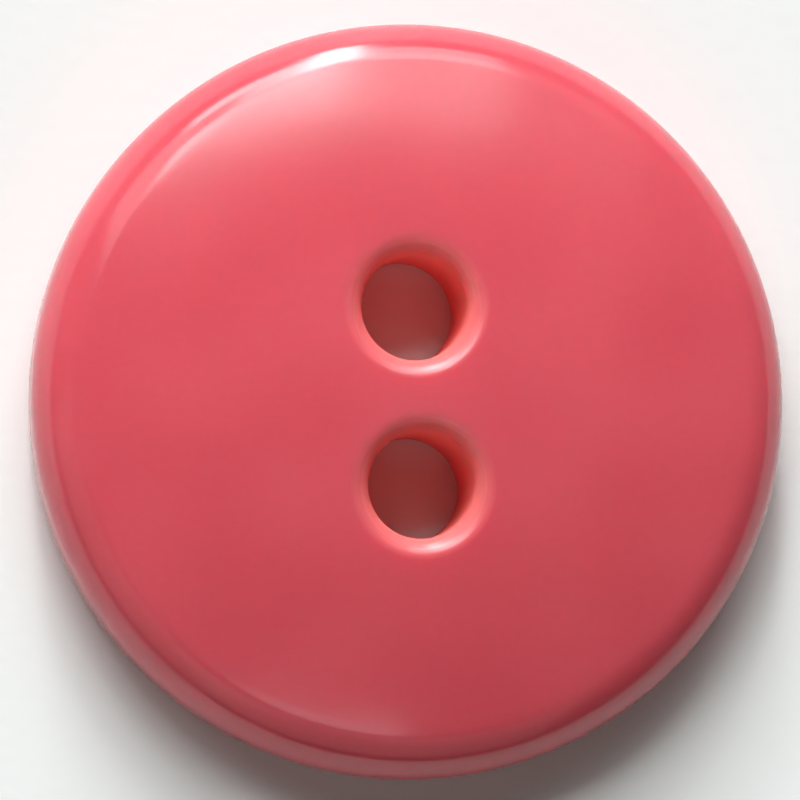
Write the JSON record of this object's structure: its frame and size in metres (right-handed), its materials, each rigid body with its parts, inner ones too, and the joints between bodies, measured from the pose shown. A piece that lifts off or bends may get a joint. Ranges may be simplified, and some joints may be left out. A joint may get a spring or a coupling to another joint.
{
  "type": "sewing button",
  "caption": "Round sewing button with a domed glossy face, a rolled rim, a flat back, and thread holes whose mouths roll down from the face.",
  "frame": {"origin": "centre of the flat back, on the surface that the button lies on", "axes": "+Z out of the domed face; the two thread holes stand on the Y axis, one each side of the centre; +X to the right"},
  "size_m": [0.015, 0.015, 0.0032],
  "materials": {
    "coral_plastic": "gloss"
  },
  "bodies": {
    "root": {"button": "coral_plastic"}
  },
  "joints": []
}
